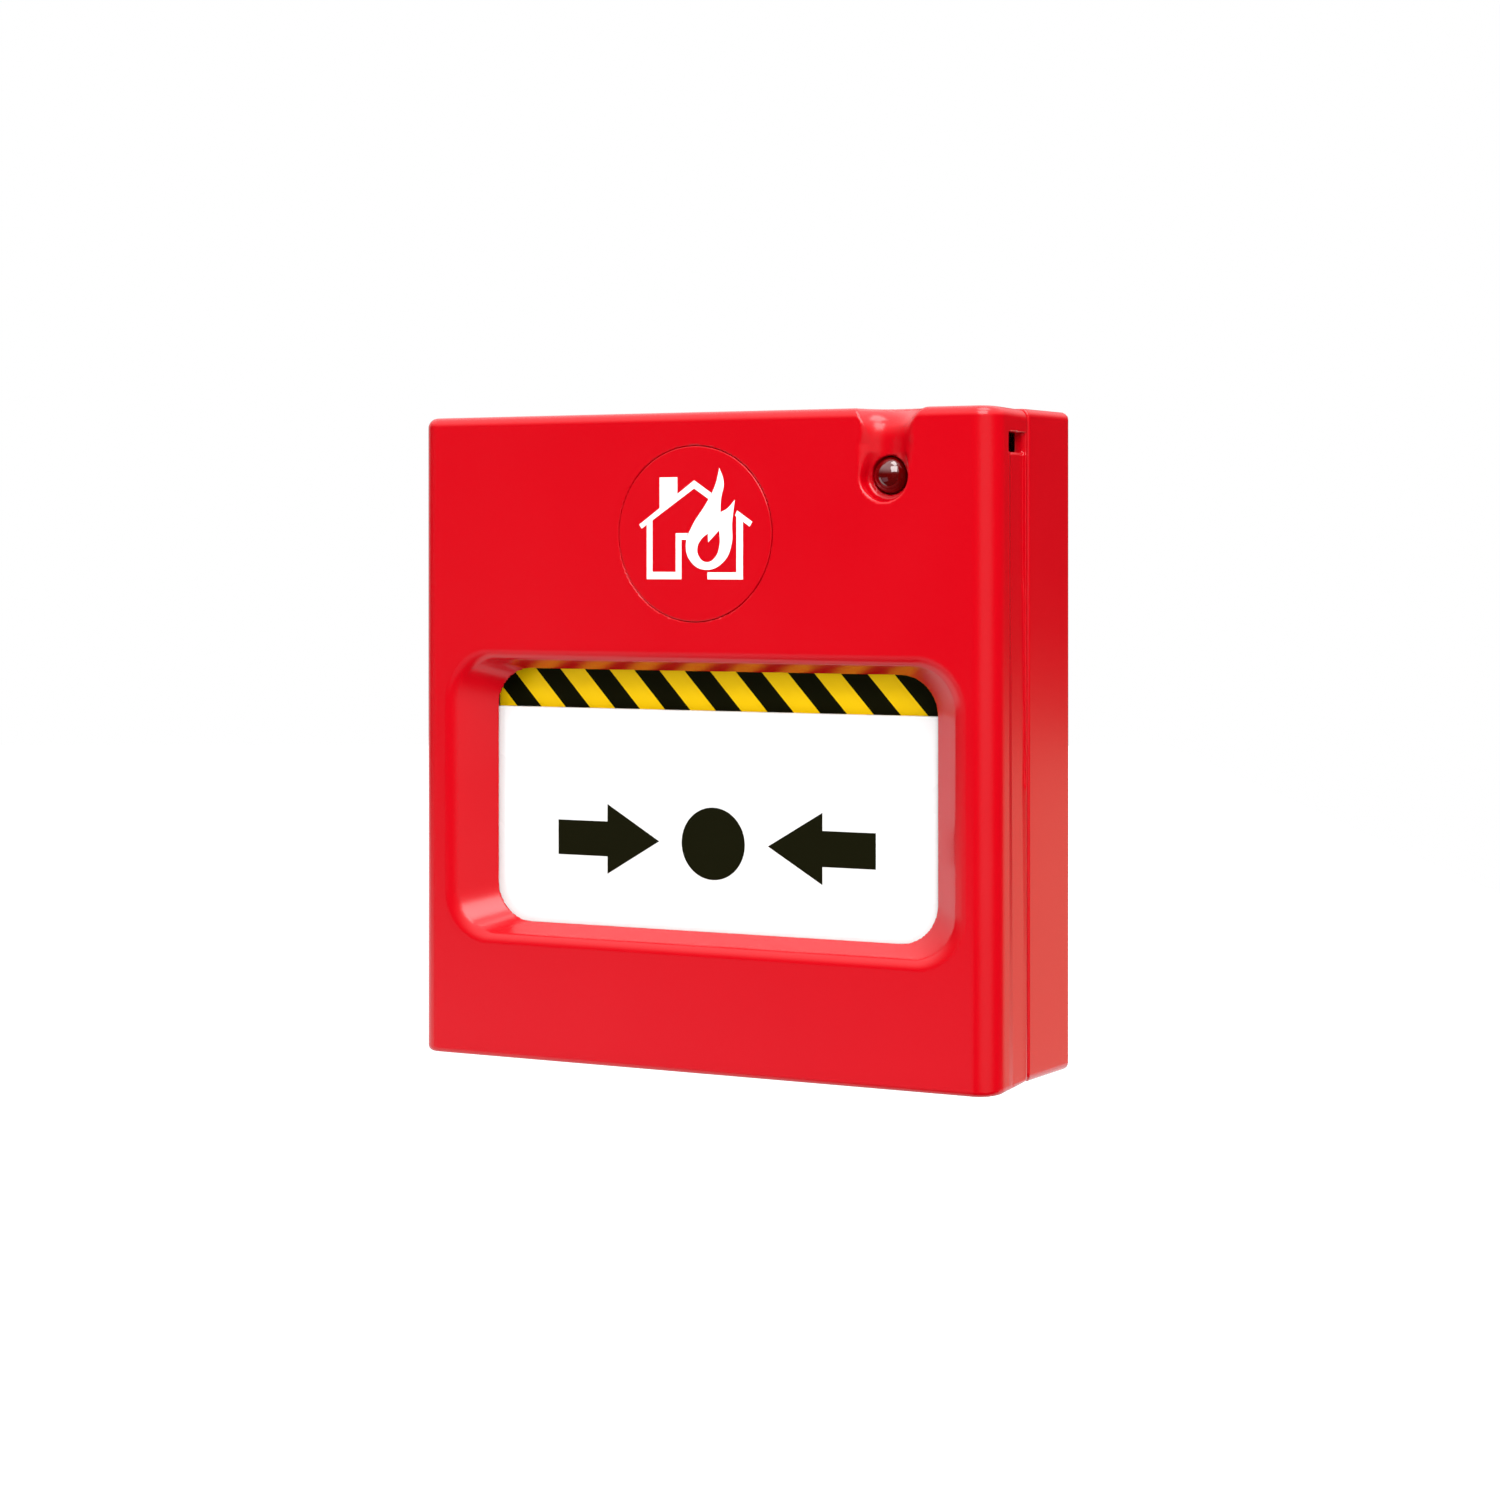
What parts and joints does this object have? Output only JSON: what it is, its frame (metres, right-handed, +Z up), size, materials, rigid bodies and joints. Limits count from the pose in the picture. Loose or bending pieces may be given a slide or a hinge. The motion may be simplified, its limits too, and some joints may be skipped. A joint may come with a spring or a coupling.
{
  "type": "manual call point",
  "caption": "Square red resettable fire alarm call point with a hinged front cover, a white press plate that drops over a hazard strip, an indicator light and a switch mechanism inside.",
  "frame": {"origin": "centre of the flat back face that lies on the wall", "axes": "+X to the right seen from the front, +Y into the wall, +Z up"},
  "size_m": [0.09, 0.025, 0.09],
  "materials": {
    "red_gloss": "glossy moulded ABS",
    "plate_white": "smooth satin",
    "mark_black": "printed",
    "hazard_yellow": "printed",
    "print_white": "printed",
    "chassis_plastic": "fine spark-eroded texture",
    "slider_plastic": "natural acetal",
    "led_red": "tinted epoxy dome",
    "black_plastic": "satin",
    "grommet_rubber": "matt",
    "board_green": "solder resist",
    "terminal_green": "satin polyamide",
    "zinc_steel": "zinc plated",
    "spring_steel": "drawn wire",
    "tinned_metal": "tinned",
    "contact_brass": "bright",
    "resistor_body": "lacquered",
    "plunger_red": "satin"
  },
  "bodies": {
    "housing": {"back_box": "red_gloss", "cable_grommet": "grommet_rubber", "chassis": "chassis_plastic", "chassis_screws": "zinc_steel", "circuit_board": "board_green", "pcb_screws": "zinc_steel", "resistors": "resistor_body", "capacitor": "black_plastic", "driver_chip": "black_plastic", "terminal_block": "terminal_green", "terminal_screws": "zinc_steel", "terminal_clamps": "tinned_metal", "microswitch_body": "black_plastic", "microswitch_dowels": "zinc_steel", "microswitch_terminals": "contact_brass", "status_led": "led_red", "led_leads": "tinned_metal", "led_spacer": "black_plastic", "hazard_strip": "hazard_yellow", "hazard_stripes": "mark_black", "guide_rods": "zinc_steel", "drive_spring_left": "spring_steel", "drive_spring_right": "spring_steel", "detent_spring": "spring_steel", "detent_screw": "zinc_steel", "cover_catches": "spring_steel"},
    "slider": {"carriage": "slider_plastic", "press_springs": "spring_steel"},
    "press_plate": {"operating_plate": "plate_white", "plate_markings": "mark_black"},
    "lever": {"microswitch_lever": "spring_steel"},
    "plunger": {"microswitch_plunger": "plunger_red"},
    "cover": {"front_cover": "red_gloss", "pictogram_disc": "red_gloss", "pictogram": "print_white"}
  },
  "joints": [
    {"name": "cover_hinge", "type": "hinge", "parent": "housing", "child": "cover", "pos_m": [0, -0.012, -0.0435], "axis": [1, 0, 0], "range_deg": [0, 90]},
    {"name": "plate_reset", "type": "slide", "parent": "housing", "child": "slider", "axis": [0, 0, 1], "range_m": [0, 0.006], "stiffness_N_per_m": 80, "springref_m": -0.01, "deforming": ["drive_spring_left", "drive_spring_right"]},
    {"name": "plate_press", "type": "slide", "parent": "slider", "child": "press_plate", "axis": [0, 1, 0], "range_m": [0, 0.0008], "stiffness_N_per_m": 400, "springref_m": -0.001, "deforming": ["press_springs"]},
    {"name": "switch_lever", "type": "hinge", "parent": "housing", "child": "lever", "pos_m": [0, -0.01145, 0.0063], "axis": [1, 0, 0], "range_deg": [0, 9.5]},
    {"name": "switch_plunger", "type": "slide", "parent": "housing", "child": "plunger", "axis": [0, 1, 0], "range_m": [0, 0.0007]}
  ],
  "couplings": [
    {"joint": "switch_lever", "follows": "plate_reset", "rad_per_m": 27.634},
    {"joint": "switch_plunger", "follows": "plate_reset", "ratio": 0.11667}
  ]
}
